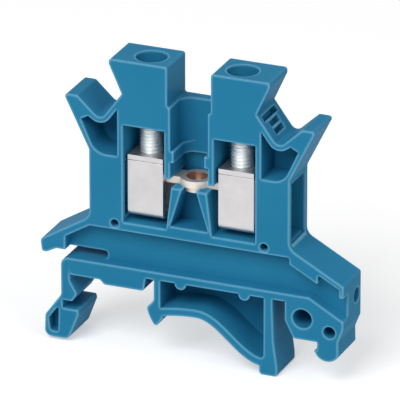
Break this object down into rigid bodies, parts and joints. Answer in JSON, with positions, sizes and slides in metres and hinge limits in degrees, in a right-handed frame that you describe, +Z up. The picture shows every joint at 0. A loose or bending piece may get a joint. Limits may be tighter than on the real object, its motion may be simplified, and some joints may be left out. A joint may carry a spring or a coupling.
{
  "type": "feed-through terminal block",
  "caption": "Slim rail-mounted feed-through terminal block: blue moulded housing, current bar and screw clamps with sliding cages.",
  "frame": {"origin": "middle of the rail's width and of the block's thickness, on the top face of the rail", "axes": "+X along the wires towards the fixed foot, +Y along the rail towards the closed side, +Z up from the rail"},
  "size_m": [0.0419, 0.0062, 0.0403],
  "materials": {
    "housing_polyamide": "moulded blue polyamide, fine satin texture",
    "tinned_copper": "tin plated copper strip",
    "plated_cage": "folded sheet steel, satin zinc plating",
    "plated_screw": "turned steel, bright zinc plating"
  },
  "bodies": {
    "block": {"housing": "housing_polyamide", "current_bar": "tinned_copper"},
    "left_screw": {"left_clamp_screw": "plated_screw"},
    "right_screw": {"right_clamp_screw": "plated_screw"},
    "left_cage": {"left_clamp_cage": "plated_cage"},
    "right_cage": {"right_clamp_cage": "plated_cage"}
  },
  "joints": [
    {"name": "left_screw_turn", "type": "hinge", "parent": "block", "child": "left_screw", "pos_m": [-0.00625, -0.00025, 0.023], "axis": [0, 0, -1], "range_deg": [-440, 2674]},
    {"name": "right_screw_turn", "type": "hinge", "parent": "block", "child": "right_screw", "pos_m": [0.00625, -0.00025, 0.023], "axis": [0, 0, -1], "range_deg": [-440, 2674]},
    {"name": "left_cage_slide", "type": "slide", "parent": "block", "child": "left_cage", "axis": [0, 0, 1], "range_m": [-0.0006, 0.0037]},
    {"name": "right_cage_slide", "type": "slide", "parent": "block", "child": "right_cage", "axis": [0, 0, 1], "range_m": [-0.0006, 0.0037]}
  ],
  "couplings": [
    {"joint": "left_screw_turn", "follows": "left_cage_slide", "rad_per_m": 12566},
    {"joint": "right_screw_turn", "follows": "right_cage_slide", "rad_per_m": 12566}
  ]
}
